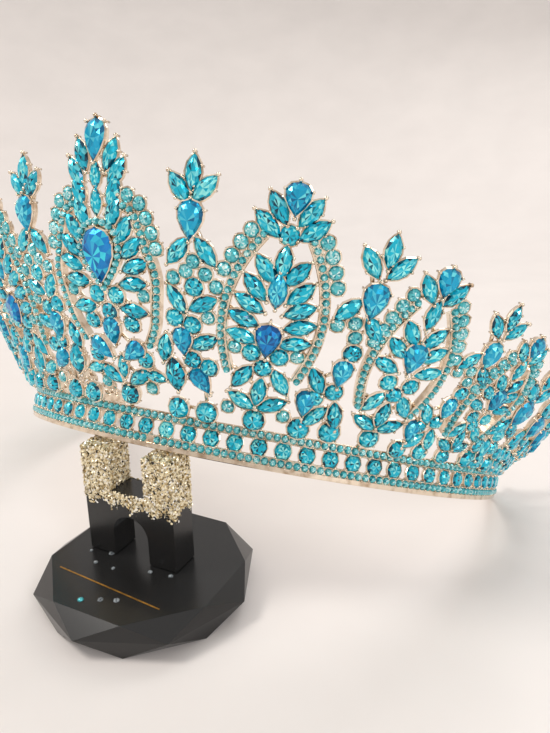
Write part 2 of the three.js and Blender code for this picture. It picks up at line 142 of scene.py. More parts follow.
def chart(text):
    """Rows of a motif's chart: the stone, its place as shares of the motif's half width and of its height,
    its turn in degrees, clockwise from upright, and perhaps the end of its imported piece's name. A row with no
    stone has that of the row before it, and one with no turn stands upright."""
    rows = []
    for row in text.split(","):
        words = [word for word in row.split() if word[0].isalpha()]
        numbers = [float(word) for word in row.split() if not word[0].isalpha()]
        if row.split()[0] in words:
            kind = words.pop(0)
        rows.append((kind, *(*numbers, 0.0)[:3], *words))
    return rows


# A stone beside the axis is repeated on the other side, but not in the one-sided spikes
FRONT_ARCH = chart("""
    crestPear 0 .925 crest, navette .24 .88 20, .34 .825 30, slimNavette 0 .815, navette .29 .768 16,
    slimNavette 0 .735, navette .27 .704 22, .43 .655 32, .52 .6 48, .55 .545 68, .48 .49 84,
    heartPear 0 .572 heart, small .5 .758, .68 .735, .77 .693, .84 .65, .89 .605, .62 .457, medium .17 .449,
    0 .395, navette .43 .406 95, medium .35 .362, darkPear 0 .335 drop, .28 .272 50 side_drop,
    medium .44 .248, slimNavette 0 .213, navette .26 .183 55, slimNavette .55 .195 100, small .42 .15,
    bottom 0 .118 bottom""")
FRONT_SPIKE = chart("""
    navette 0 .942, -.36 .888 -38, .36 .892 42, pear .04 .785 pear, navette -.3 .68 38, .5 .686 -40,
    small .15 .65, -.05 .615, -.42 .588, .52 .612, .84 .575, medium .2 .565, navette -.32 .517 -32,
    .47 .51 62, medium -.38 .45, .15 .434, small .62 .467, darkPear -.14 .374 -4 upper_drop,
    navette -.75 .338 10, .5 .378 62, medium .12 .308, .62 .288, broadNavette -.44 .246 -8 broad,
    darkPear .38 .236 -36 lower_drop, bottom -.46 .11 bottom_a, .46 .11 bottom_b""")
SIDE_ARCH = chart("""
    shortPear 0 .95 crest, navette .26 .912 34, .38 .853 50, medium 0 .825, small .62 .823, .75 .778,
    .86 .727, .95 .676, navette 0 .73 3, .26 .697 40, .385 .631 44, .43 .571 64, .49 .514 72, .46 .45 78,
    blueNavette 0 .63 blue, pear 0 .448 heart, small .55 .403, medium .245 .392, 0 .34, navette .34 .295 -35,
    0 .242 5, .28 .196 65, small .52 .157, bottom 0 .122 bottom""")
SIDE_SPIKE = chart("""
    navette .02 .95, -.4 .89 -38, .44 .892 42, pear .08 .745 pear, navette -.5 .69 40, .4 .632 -40,
    small -.62 .62, -.16 .64, 0 .582, medium .12 .516, darkPear .06 .425 upper_drop, medium .1 .334,
    -.38 .292, navette -.52 .37 -30, -.14 .206 40, .44 .226 -15, darkPear -.58 .262 lower_drop,
    bottom -.45 .135 bottom_a, .5 .145 bottom_b""")
LOW_ARCH = chart("""
    shortPear 0 .93 crest, navette .3 .885 36, 0 .782 4, small .56 .845, .69 .79, .8 .732, .88 .674, .95 .614,
    navette .26 .684 38, .41 .61 52, .5 .525 70, pear 0 .58 heart, medium .26 .447, 0 .394,
    navette .35 .345 -35, 0 .287 5, .3 .233 65, bottom 0 .156""")
SPRIG = chart("""
    navette 0 .9, .44 .775 40, pear 0 .62, navette .48 .485 -36, medium 0 .42, .62 .31, navette 0 .29,
    bottom .4 .19""")
ONE_SIDED = (FRONT_SPIKE, SIDE_SPIKE)

# Strips that frame an arch, from its shoulder down: shares of its half width and height
FRONT_STRIP = ((0.43, 0.724), (0.56, 0.708), (0.62, 0.679), (0.685, 0.638), (0.73, 0.600), (0.82, 0.545),
               (0.84, 0.500), (0.80, 0.445), (0.72, 0.365), (0.57, 0.300))
SIDE_STRIP = ((0.40, 0.815), (0.55, 0.762), (0.67, 0.709), (0.76, 0.655), (0.84, 0.570), (0.84, 0.470),
              (0.75, 0.385), (0.62, 0.310))

# The motifs from the front to the rear end. foot and tip are degrees round the axis at the band and at the
# tip, height is measured along the axis, scale is that of the stones, and own says whether any of them is a
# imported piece.
Motif = collections.namedtuple("Motif", "name chart strip foot tip height half_width scale own")
MOTIFS = [Motif(*row) for row in (
    ("front", FRONT_ARCH, FRONT_STRIP, 0.0, 0.0, 69.7, 17.6, 1.00, True),
    ("spike1", FRONT_SPIKE, (), 11.5, 12.1, 62.3, 8.4, 1.00, True),
    ("arch1", SIDE_ARCH, SIDE_STRIP, 21.8, 23.5, 59.0, 13.8, 1.00, True),
    ("spike2", SIDE_SPIKE, (), 31.4, 34.6, 52.2, 8.4, 1.00, True),
    ("arch2", LOW_ARCH, SIDE_STRIP, 41.5, 41.8, 49.6, 11.8, 0.95, True),
    ("spike3", SIDE_SPIKE, (), 49.6, 52.8, 45.0, 7.6, 0.86, False),
    ("arch3", LOW_ARCH, SIDE_STRIP, 58.0, 59.2, 41.0, 10.2, 0.80, False),
    ("spike4", SPRIG, (), 66.4, 67.2, 36.0, 6.4, 1.00, False),
    ("sprig1", SPRIG, (), 75.0, 75.6, 32.0, 6.2, 0.92, False),
    ("sprig2", SPRIG, (), 83.0, 83.5, 28.0, 5.8, 0.82, False),
    ("sprig3", SPRIG, (), 90.6, 91.0, 24.0, 5.4, 0.72, False),
    ("sprig4", SPRIG, (), 98.0, 98.3, 20.0, 5.0, 0.62, False),
)]


def linear(hex_colour):
    """An sRGB hex colour as linear red, green, blue and alpha."""
    parts = [int(hex_colour[i:i + 2], 16) / 255 for i in (1, 3, 5)]
    return (*[c / 12.92 if c <= 0.04045 else ((c + 0.055) / 1.055) ** 2.4 for c in parts], 1.0)


def length_property(label, words, millimetres):
    """A length in metres that a user may change."""
    return bpy.props.FloatProperty(name=label, description=words, default=millimetres * MM, min=0.0001,
                                   unit="LENGTH", precision=5)


def colour_property(label, words, hex_colour):
    """A colour that a user may change."""
    return bpy.props.FloatVectorProperty(name=label, description=words, default=linear(hex_colour), size=4,
                                         subtype="COLOR", min=0, max=1)


class CrownSizes(bpy.types.PropertyGroup):
    wire: length_property("Solder wire", "Thickness of a wire between two settings", 1.1)
    cup_wall: length_property("Cup wall", "Metal round a stone, seen from the front", 0.42)
    claw: length_property("Claw", "Thickness of the ball at a claw's end", 0.95)
    strip: length_property("Strip width", "Width of the strip that frames an arch", 2.7)
    strip_depth: length_property("Strip depth", "Front to back of that strip", 1.9)
    row_stone: length_property("Row stone", "Across one of the tiny stones of the rows", 1.9)
    flake: length_property("Glitter flake", "Across one flake on the post", 0.85)
    flakes: bpy.props.IntProperty(name="Flakes", default=16000, min=0, max=16500,
                                  description="Flakes of glitter scattered over the post")
    rail_stones: bpy.props.IntProperty(name="Row stones on a rail", default=144, min=48, max=200,
                                       description="Tiny stones along each rail of the band")


class CrownColours(bpy.types.PropertyGroup):
    gilt: colour_property("Gilt", "Polished plating on the outside", "#eedfca")
    # Gilt, shade is painted shade: a darker gilt that noise scatters in patches a few millimetres wide over all
    # the metal
    gilt_shade: colour_property("Gilt, shade", "Plating in the hollows", "#a48460")
    acrylic: colour_property("Acrylic", "The stand", "#020203")
    base_line: colour_property("Gilt print", "The line on the base", "#c08a34")
    glitter: colour_property("Glitter", "Flakes on the upper part of the post", "#fbefcd")
    # Painted shade: this darker glitter colour goes to flakes picked at random, standing in for those that face
    # away from the light
    glitter_dull: colour_property("Glitter, dull", "Flakes that face away from the light", "#9a7d3e")
    paper: colour_property("Paper", "Floor and backdrop", "#e9e3df")


# Each glass: its slot, what it is for, and its dark, body and light facets, which are colours of their own; the
# dark ones are painted shade, the light ones painted reflections
GLASS = {"aqua": ("aqua_glass", "the aqua stones", "#003d54", "#00bad6", "#9af8f4"),
         "pale": ("aqua_glass", "the small stones", "#187f90", "#58c4cc", "#dcfaf6"),
         "azure": ("blue_glass", "the pears", "#006a98", "#00a8d2", "#6fe8f4"),
         "blue": ("blue_glass", "the largest pears", "#005194", "#0084d0", "#3cdcf0")}
FACETS = {"dark": "Shaded facets", "body": "Most facets", "light": "Bright facets"}
CrownColours.__annotations__.update({
    f"{tint}_{part}": colour_property(f"{tint.title()}, {part}", f"{words} of {stones}", hex_colour)
    for tint, (_, stones, *hexes) in GLASS.items()
    for (part, words), hex_colour in zip(FACETS.items(), hexes)})


def number_property(label, words, value):
    """A number from nought up that a user may change."""
    return bpy.props.FloatProperty(name=label, description=words, default=value, min=0)


class StageSettings(bpy.types.PropertyGroup):
    key_light: number_property("Key light", "Soft light from the upper left, in watts", 4.2)
    fill_light: number_property("Fill light", "Soft light from the right, in watts", 2.0)
    sky: number_property("Sky", "Strength of the even light all round", 0.76)
    lens: number_property("Lens", "Focal length of the camera in millimetres", 32.02)


# Placing things on the wall

def zipped(*values):
    """Arrays zipped along a new last axis."""
    return np.stack(np.broadcast_arrays(*values), -1)


def wall_radius(h):
    """Radius of the wall's front at height h: the band's radius, plus a flare that eases off with height."""
    u = np.maximum(h - RAIL_MIDDLE, 0)
    return BAND_RADIUS + FLARE * u - EASE * u * u / BAND_RADIUS


def wall_lean(h):
    """Outward over upward, which is the slope of wall_radius."""
    return np.where(h <= RAIL_MIDDLE, 0, FLARE - 2 * EASE * (h - RAIL_MIDDLE) / BAND_RADIUS)


def seats(azimuth, h, turn=0.0, lean_share=1.0):
    """Axes and origins of places on the wall: x runs right, y up the wall and z outwards, with x and y turned
    clockwise by turn. A lean_share under 1 makes them more upright than the wall."""
    azimuth, h, turn = (np.asarray(v, float) for v in np.broadcast_arrays(azimuth, h, turn))
    a, t = np.radians(azimuth), np.radians(turn)[..., None]
    lean = wall_lean(h) * lean_share
    right = zipped(np.cos(a), np.sin(a), 0)
    up = zipped(lean * np.sin(a), -lean * np.cos(a), 1)
    up /= np.linalg.norm(up, axis=-1, keepdims=True)
    out = np.cross(right, up)
    x, y = right * np.cos(t) - up * np.sin(t), right * np.sin(t) + up * np.cos(t)
    radius = wall_radius(h)
    origin = zipped(radius * np.sin(a), -radius * np.cos(a), h)
    return zipped(x, y, out), origin


def tilted(points):
    """The crown's own upright frame turned back by the tilt, about X, and set on its stand."""
    x, y, z = points.T
    return zipped(x - POST_ASIDE, y * math.cos(TILT) + z * math.sin(TILT) + BEHIND_POST,
                  z * math.cos(TILT) - y * math.sin(TILT) + LIFT)


def stone_seats(stones):
    """Seats of stones. Those near the band stand more upright than the wall."""
    azimuth, h, turn = (column(stones, key) for key in ("azimuth", "h", "turn"))
    return seats(azimuth, h, turn, np.interp(h, (7, 24), (0.45, 1.0)))


# Meshes. A soup is (vertices, triangles, tone of each triangle, 1 for each triangle shaded smooth).

def soup(vertices, triangles, tones=0.5, smooth=0):
    """Vertices and triangles with a tone and a smooth flag for each triangle."""
    vertices, triangles = np.reshape(vertices, (-1, 3)), np.reshape(triangles, (-1, 3))
    full = np.ones(len(triangles))
    return vertices, triangles, np.ravel(tones) * full, np.ravel(smooth) * full


def joined(soups):
    """Many soups as one: the triangles of each count on from the vertices before it."""
    vertices, triangles, tones, smooth = zip(*soups)
    starts = np.cumsum([0] + [len(part) for part in vertices[:-1]])
    triangles = [part + start for part, start in zip(triangles, starts)]
    return np.vstack(vertices), np.vstack(triangles), np.hstack(tones), np.hstack(smooth)


def alike(solids, triangles, tones=0.5, smooth=0):
    """Solids with the same triangles, each a row of vertices, as one soup."""
    steps = solids.shape[1] * np.arange(len(solids))[:, None, None]
    return soup(solids, triangles[None] + steps, tones, smooth)


def planted(local, axes, origins, tones=0.5, smooth=0):
    """Solids worked out each in its own seat, turned by the seat's axes and moved to its origin."""
    vertices, triangles = local
    return alike(np.einsum("nij,nvj->nvi", axes, vertices) + origins[:, None], triangles, tones, smooth)


def scattered(template, axes, origins, sizes, smooth=0):
    """Copies of a template, each of its own sizes along the axes of its seat."""
    return planted((template[0] * sizes[:, None, :], template[1]), axes, origins, smooth=smooth)


def new_object(name, data):
    """An object in the scene."""
    made = bpy.data.objects.new(name, data)
    bpy.context.scene.collection.objects.link(made)
    return made


def new_mesh(name, vertices, faces, smooth, material):
    """An object with a mesh given in millimetres, and with one material."""
    mesh = bpy.data.meshes.new(name)
    mesh.from_pydata((vertices * MM).tolist(), [], faces.tolist())
    mesh.polygons.foreach_set("use_smooth", smooth.astype(bool))
    mesh.materials.append(finish(material))
    return new_object(name, mesh)


def make_piece(name, made, slot, material, replaced=(), upright=False):
    """A piece from a soup in the crown's own frame, or upright in the stand's, riding on the one body."""
    vertices, triangles, tones, smooth = made
    piece = new_mesh(name, vertices if upright else tilted(vertices), triangles, smooth, material)
    piece.data.attributes.new("tone", "FLOAT", "FACE").data.foreach_set("value", tones.astype(np.float32))
    piece.data.update()
    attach(piece, "root")
    if replaced:
        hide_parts(*replaced)


def make_glass(name, made, tint, **more):
    """A piece of one of the glasses."""
    make_piece(name, made, GLASS[tint][0], f"{tint}_foiled_glass", **more)


def outline(shape, theta):
    """Unit outlines. Round: a circle. Navette: the circle with its width pinched towards both tips, as the
    cosine to the power 1.6. Pear: the circle with its width scaled by the root of (1 + sine) / 2, so that it
    is round above and comes to a point below."""
    c, s = np.cos(theta), np.sin(theta)
    width = {"round": c, "navette": c * np.abs(c) ** 0.6, "pear": c * np.sqrt((1 + s) / 2) * 1.299}[shape]
    return zipped(width, s)


def stack_faces(sides, shifts):
    """Triangles of a stack of rings and of the middles of its two ends, which come last: a fan, pairs of
    triangles from ring to ring, and a fan. Each shift is the part of a step that a ring is turned by."""
    k, n = np.arange(sides), np.roll(np.arange(sides), -1)
    middles, last = sides * len(shifts), sides * (len(shifts) - 1)
    triangles = [(middles, n, k)]
    for i in range(len(shifts) - 1):
        low, high = sides * i, sides * (i + 1)
        if shifts[i + 1] >= shifts[i]:
            triangles += [(low + k, low + n, high + k), (high + k, low + n, high + n)]
        else:
            triangles += [(low + k, high + n, high + k), (low + k, low + n, high + n)]
    triangles.append((middles + 1, last + k, last + n))
    return np.vstack([zipped(*corners) for corners in triangles])


def stacked(shape, sides, half, rings):
    """Closed solids on one outline, one for each row of half (half width and half length). Each ring is
    (share of the outline, growth in mm, height, part of a step it is turned by)."""
    layers, step = [], 2 * np.pi / sides
    for share, grow, height, shift in rings:
        flat = outline(shape, step * (np.arange(sides) + shift))[None] * (half * share + grow)[:, None]
        layers.append(zipped(flat[..., 0], flat[..., 1], np.reshape(height, (-1, 1))))
    ends = [np.mean(layers[i], axis=1, keepdims=True) for i in (0, -1)]
    return np.concatenate(layers + ends, axis=1), stack_faces(sides, [ring[3] for ring in rings])


def ball():
    """A unit ball of twenty faces: the corners of three gold rectangles."""
    g = (1 + 5 ** 0.5) / 2
    corners = np.array([(-1, g, 0), (1, g, 0), (-1, -g, 0), (1, -g, 0), (0, -1, g), (0, 1, g), (0, -1, -g),
                        (0, 1, -g), (g, 0, -1), (g, 0, 1), (-g, 0, -1), (-g, 0, 1)]) / math.hypot(1, g)
    faces = np.array([(0, 11, 5), (0, 5, 1), (0, 1, 7), (0, 7, 10), (0, 10, 11), (1, 5, 9), (5, 11, 4),
                      (11, 10, 2), (10, 7, 6), (7, 1, 8), (3, 9, 4), (3, 4, 2), (3, 2, 6), (3, 6, 8),
                      (3, 8, 9), (4, 9, 5), (2, 4, 11), (6, 2, 10), (8, 6, 7), (9, 8, 1)])
    return corners, faces


def tubes(starts, ends, radius, sides=6):
    """Straight wires, each a stack of one ring round its start and one round its end."""
    along = ends - starts
    along /= np.maximum(np.linalg.norm(along, axis=1, keepdims=True), 1e-9)
    helper = np.where(np.abs(along[:, 2:]) > 0.8, [[1.0, 0, 0]], [[0, 0, 1.0]])
    across = np.cross(helper, along)
    across /= np.linalg.norm(across, axis=1, keepdims=True)
    axes = zipped(across, np.cross(along, across), along)
    angle = 2 * np.pi * np.arange(sides) / sides
    ring = zipped(np.cos(angle), np.sin(angle), 0) * radius
    round_end = np.einsum("nij,vj->nvi", axes, ring)
    starts, ends = starts[:, None], ends[:, None]
    return alike(np.concatenate([starts + round_end, ends + round_end, starts, ends], axis=1),
                 stack_faces(sides, (0, 0)), smooth=1)


def swept(profile, axes, origins):
    """A closed profile carried along seats: profile is (across, out) points, anticlockwise seen against the
    path's direction, so the faces of the stack are turned round."""
    flat = zipped(profile[:, 0], 0, profile[:, 1])
    rings = np.einsum("nij,vj->nvi", axes, flat) + origins[:, None]
    vertices = np.vstack([rings.reshape(-1, 3), rings[[0, -1]].mean(axis=1)])
    return soup(vertices, stack_faces(len(profile), [0] * len(rings))[:, [0, 2, 1]])


# What stands where

Stone = collections.namedtuple("Stone", "motif kind shape wide long rise azimuth h turn own")


def column(stones, key):
    """One value of every stone as an array."""
    return np.array([getattr(stone, key) for stone in stones], float)


def half_sizes(stones):
    """Half width and half length of every stone."""
    return zipped(column(stones, "wide"), column(stones, "long")) / 2


def groups_of(stones, key):
    """The stones sorted by one of their values."""
    found = {}
    for stone in stones:
        found.setdefault(getattr(stone, key), []).append(stone)
    return found.items()


def by_outline(stones):
    """The stones sorted by outline, each group as its outline, half sizes, feet, rises and seats."""
    for shape, group in groups_of(stones, "shape"):
        feet = np.array([SEAT_GAP if stone.own else SEAT for stone in group])
        yield shape, half_sizes(group), feet, column(group, "rise"), stone_seats(group)


def sides_of(motif):
    """The sides that a motif stands on, each with the end of its name."""
    return ((1, "_right"), (-1, "_left")) if motif.foot else ((1, ""),)


def chart_place(motif, side, across, up):
    """Azimuth and height of a place in a motif's chart."""
    h = up * motif.height
    axis = motif.foot + (motif.tip - motif.foot) * up
    return side * (axis + math.degrees(across * motif.half_width / float(wall_radius(h)))), h


def chart_stones():
    """Every stone of the motifs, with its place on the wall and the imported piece's name."""
    stones = []
    for motif in MOTIFS:
        ends = ("_outer", "_inner") if motif.foot else ("_right", "_left")
        for side, label in sides_of(motif):
            for kind, across, up, turn, *own in motif.chart:
                shape, wide, long, rise = STONES[kind]
                twins = across and motif.chart not in ONE_SIDED
                for hand, end in zip((1, -1), ends) if twins else ((1, ""),):
                    piece = f"{motif.name}_{own[0]}{end}{label}" if motif.own and own else ""
                    stones.append(Stone(
                        motif.name + label, kind, shape, wide * motif.scale, long * motif.scale,
                        rise * math.sqrt(motif.scale), *chart_place(motif, side, hand * across, up),
                        side * hand * turn, piece))
    return stones


def band_stones():
    """The band's own stones, in the same form as those of the motifs."""
    return [Stone("band", "band", "round", BAND_STONE, BAND_STONE, 1.6, azimuth, 0.0, 0.0, "")
            for azimuth in BAND_PLACES]


def tint_of(stone):
    """The glass that a stone is cut from."""
    if stone.own.startswith(("front_heart", "arch1_heart")):
        return "blue"
    return "azure" if stone.kind in DEEP_BLUE else "pale" if stone.kind == "small" else "aqua"


def strip_paths(spacing):
    """The strips of all arches: (motif, side that is inner, path)."""
    paths = []
    for motif in MOTIFS:
        for side, label in sides_of(motif) if motif.strip else ():
            for hand in (1, -1):
                rows = [chart_place(motif, side, hand * across, up) for across, up in motif.strip]
                paths.append((motif.name + label, side * hand, path_on_wall(rows, spacing)))
    return paths


def path_on_wall(rows, spacing):
    """Places at even spacing along a smooth path on the wall through rows of (azimuth, h): a cubic through
    the rows by their running length, read off at even lengths."""
    rows = np.array(rows, float)
    fine = np.linspace(0, len(rows) - 1, 400)
    i = np.clip(fine.astype(int), 0, len(rows) - 2)
    t = (fine - i)[:, None]
    padded = np.vstack([2 * rows[0] - rows[1], rows, 2 * rows[-1] - rows[-2]])
    p0, p1, p2, p3 = (padded[i + j] for j in range(4))
    curve = 0.5 * (2 * p1 + (p2 - p0) * t + (2 * p0 - 5 * p1 + 4 * p2 - p3) * t ** 2
                   + (3 * p1 - p0 - 3 * p2 + p3) * t ** 3)
    _, points = seats(curve[:, 0], curve[:, 1])
    length = running_length(points)
    marks = np.linspace(0, length[-1], max(int(round(length[-1] / spacing)), 2) + 1)
    azimuth, h = (np.interp(marks, length, curve[:, c]) for c in (0, 1))
    across = np.gradient(np.radians(azimuth)) * wall_radius(h)
    rise = np.gradient(h) * np.hypot(1, wall_lean(h))
    return azimuth, h, np.degrees(np.arctan2(across, rise))


def running_length(points):
    """Length of a path from its start to each of its points."""
    return np.hstack([0, np.cumsum(np.linalg.norm(np.diff(points, axis=0), axis=1))])


def halo(stone, gap, spacing):
    """Seats round one stone: even steps by length along its outline, grown by gap."""
    ring = outline(stone.shape, np.linspace(0, 2 * np.pi, 721)) * (half_sizes([stone]) + gap)
    length = running_length(ring)
    marks = np.linspace(0, length[-1], int(round(length[-1] / spacing)) + 1)[:-1]
    local = zipped(*[np.interp(marks, length, ring[:, c]) for c in (0, 1)])
    axes, origin = seats(stone.azimuth, stone.h, stone.turn)
    return np.repeat(axes[None], len(local), axis=0), origin + local @ axes[:, :2].T


def rail_row(middle, count):
    """Seats of the tiny stones on one rail."""
    turn = np.linspace(-BAND_HALF_TURN, BAND_HALF_TURN, 2 * count + 1)[1::2]
    axes, origins = seats(turn, middle, 90)
    return axes, origins + axes[:, :, 2] * (BAND_THICK / 2 - 0.3)


def inner_is_left(azimuth, h, inner):
    """Whether the arch's inside lies towards minus x of the path's own seats, which look along the path."""
    return (np.mean(np.diff(h)) < 0) == (inner < 0)


def strip_row(azimuth, h, lie, inner, deep):
    """Seats of the tiny stones on one strip, a little nearer to its outer edge."""
    aside = 0.2 if inner_is_left(azimuth, h, inner) else -0.2
    axes, origins = seats(azimuth, h, lie)
    return axes, origins + axes[:, :, 2] * (deep - BACK_PLATE - 0.35) + axes[:, :, 0] * aside


# Stones and metal

def facet_tones(draw, count, sides, bands, facet_noise, stone_noise):
    """Tones of stones from 0, dark, to 1, bright, which are painted shade and painted reflections: those of the
    bands, plus noise by facet and by stone.
    """
    odd = np.arange(sides) % 2
    tone = np.hstack([even + more * odd for even, more in bands])
    noise = draw.normal(0, facet_noise, (count, len(tone))) + draw.normal(0, stone_noise, (count, 1))
    return np.clip(tone[None] + noise, 0, 1)


def cut_stones(stones, seed, sides=12):
    """Cut stones: a flat back, a girdle, a ring of crown facets turned half a step, and a table whose fan
    stands for the pavilion seen through it."""
    draw = np.random.default_rng(seed)
    soups = []
    for shape, half, low, rise, places in by_outline(stones):
        share = TABLE[shape]
        rings = ((0.80, 0, low, 0), (1.0, 0, low + 0.32 * rise, 0),
                 ((1 + share) / 2 + 0.02, 0, low + 0.74 * rise, 0.5), (share, 0, low + rise, 0))
        tones = facet_tones(draw, len(half), sides, CUT_FACETS, 0.21, 0.07)
        soups.append(planted(stacked(shape, sides, half, rings), *places, tones))
    return joined(soups)


def tiny_stones(axes, origins, size, rise, draw, sides=8):
    """Tiny stones: one ring of facets and a table."""
    made = stacked("round", sides, np.full((len(origins), 2), size / 2),
                   ((0.8, 0, -0.5 * rise, 0), (1, 0, 0, 0), (0.55, 0, rise, 0.5)))
    return planted(made, axes, origins, facet_tones(draw, len(origins), sides, TINY_FACETS, 0.16, 0.08))


def cups(stones, wall, sides=12):
    """Open cups: a plate behind the stone, a wall round its girdle and a rim turned in over the edge."""
    soups = []
    for shape, half, low, rise, places in by_outline(stones):
        rings = ((0.84, -0.1, -BACK_PLATE, 0), (0.94, 0, 0.3 - BACK_PLATE, 0),
                 (1, wall, low + 0.15 * rise, 0), (1, wall * 0.9, low + 0.3 * rise, 0),
                 (1, 0.02, low + 0.37 * rise, 0), (0.9, 0, -0.1, 0))
        soups.append(planted(stacked(shape, sides, half, rings), *places))
    return joined(soups)


def halo_plate(stones, grown):
    """A flat plate behind the ring of tiny stones: the pear's outline, grown, from the back plate forward."""
    rings = ((0.97, 0, -BACK_PLATE, 0), (1, 0, 0.5 - BACK_PLATE, 0), (1, 0, 0.55, 0), (0.97, 0, 0.6, 0))
    return planted(stacked("pear", 24, half_sizes(stones) + grown / 2, rings), *stone_seats(stones))


def claws(stones, thick, crest=False):
    """Claws: a post up the outside of the cup and a ball that laps over the stone's edge. A crest has three
    balls round its top."""
    soups = []
    for shape, half, low, rise, (axes, origins) in by_outline(stones):
        for angle in CLAWS["crest" if crest else shape]:
            flat = outline(shape, np.radians([angle]))[0] * (half + CLAW_ASIDE[angle not in CLAW_SIZE])
            top = low + 0.44 * rise
            tip, foot = (np.einsum("nij,nj->ni", axes, zipped(flat[:, 0], flat[:, 1], high)) + origins
                         for high in (top, -0.6))
            size = thick / 2 * CLAW_SIZE.get(angle, SMALL_CLAW) * np.clip(half[:, 1:] / 3, 0.75, 1.1)
            soups.append(tubes(foot, tip, thick * 0.3, 5))
            soups.append(scattered(ball(), axes, tip, size * np.ones((1, 3)), 1))
    return joined(soups)


def row_beads(axes, origins, aside, radius):
    """Beads of metal that hold a row of tiny stones: two between each stone and the next."""
    middle = (origins[1:] + origins[:-1]) / 2
    across = axes[1:, :, 0] * aside
    places = np.vstack([middle + across, middle - across]) + np.tile(axes[1:, :, 2], (2, 1)) * 0.15
    return scattered(ball(), np.tile(axes[1:], (2, 1, 1)), places, np.full((1, 3), radius), 1)


def nearest_links(points, reach, start):
    """The shortest links that join all points, grown from the first start points, which hold together as they
    are. A link is as long as the gap between its two ends' reaches."""
    gaps = np.linalg.norm(points[:, None] - points[None], axis=-1) - reach[:, None] - reach[None]
    best, parent = gaps[:, :start].min(axis=1), gaps[:, :start].argmin(axis=1)
    done = np.arange(len(points)) < start
    links = []
    for _ in range(len(points) - start):
        i = int(np.where(done, np.inf, best).argmin())
        links.append((i, int(parent[i])))
        done[i] = True
        closer = gaps[:, i] < best
        best, parent = np.where(closer, gaps[:, i], best), np.where(closer, i, parent)
    return np.array(links)


def solder_wires(stones, paths, radius):
    """Wires between neighbours, behind the stones: each motif hangs together and on the upper rail."""
    starts, ends = [], []
    for motif, group in groups_of(stones, "motif"):
        azimuth, h = column(group, "azimuth"), column(group, "h")
        near = BAND_PLACES[np.abs(BAND_PLACES - azimuth[h.argmin()]) < NEAR_FOOT]
        strips = [path for name, _, path in paths if name == motif]
        anchors = np.hstack([near] + [path[0][::2] for path in strips])
        anchor_h = np.hstack([0 * near + RAIL_MIDDLE] + [path[1][::2] for path in strips])
        axes, origins = seats(np.hstack([anchors, azimuth]), np.hstack([anchor_h, h]))
        points = origins - axes[:, :, 2] * (BACK_PLATE / 2 + 0.1)
        reach = np.hstack([0 * anchors + 1.0, half_sizes(group).mean(axis=1)])
        links = nearest_links(points, reach, len(near))
        starts.append(points[links[:, 0]])
        ends.append(points[links[:, 1]])
    return tubes(np.vstack(starts), np.vstack(ends), radius)


def rail(middle, lip):
    """One rail of the band: a trough for its row of tiny stones, with a plain lip at its lower edge."""
    turn = np.linspace(-BAND_HALF_TURN, BAND_HALF_TURN, RAIL_STEPS)
    half, thick = BAND_RAIL / 2, BAND_THICK / 2
    ring = np.array([(-half - lip, -thick), (half, -thick), (half, thick - 0.25), (half - 0.15, thick - 0.1),
                     (half - 0.3, thick - 0.1), (half - 0.4, thick - 0.4), (0.4 - half, thick - 0.4),
                     (0.3 - half, thick - 0.1), (0.15 - half - lip, thick - 0.1),
                     (-half - lip, thick - 0.25)])
    axes, origins = seats(turn, middle)
    return swept(ring, zipped(axes[:, :, 1], -axes[:, :, 0], axes[:, :, 2]), origins)


def strip(azimuth, h, lie, inner, half, deep):
    """One strip that frames an arch: a bed for its row of tiny stones, and a lip at its inner edge."""
    front = deep - BACK_PLATE
    ring = np.array([(-half, -BACK_PLATE), (half, -BACK_PLATE), (half, front - 0.5),
                     (half - 0.3, front - 0.4), (0.6 - half, front - 0.4), (0.5 - half, front),
                     (0.15 - half, front), (-half, front - 0.2)])
    if not inner_is_left(azimuth, h, inner):
        ring = (ring * (-1, 1))[::-1]
    return swept(ring, *seats(azimuth, h, lie))


# Materials

def add_node(tree, kind, settings=(), links=()):
    """One node with its settings and its links: a setting is a property or an input, a link is an input and
    the output that feeds it."""
    made = tree.nodes.new(kind)
    for name, value in dict(settings).items():
        if hasattr(made, name):
            setattr(made, name, value)
        else:
            made.inputs[name].default_value = value
    for socket, source in dict(links).items():
        tree.links.new(source, made.inputs[socket])
    return made


def chosen(colour, share=1.0):
    """The colour of that name, or an sRGB hex colour, with a share of its light."""
    found = linear(colour) if colour[0] == "#" else getattr(bpy.context.scene.crown_colours, colour)
    return (*[share * c for c in found[:3]], 1.0)


def ramp(tree, source, stops):
    """A colour ramp with its stops, each a place, a colour and perhaps a share of its light."""
    made = add_node(tree, "ShaderNodeValToRGB", links={"Fac": source})
    elements = made.color_ramp.elements
    while len(elements) < len(stops):
        elements.new(0.5)
    for element, (place, *colour) in zip(elements, stops):
        element.position, element.color = place, chosen(*colour)
    return made.outputs["Color"]
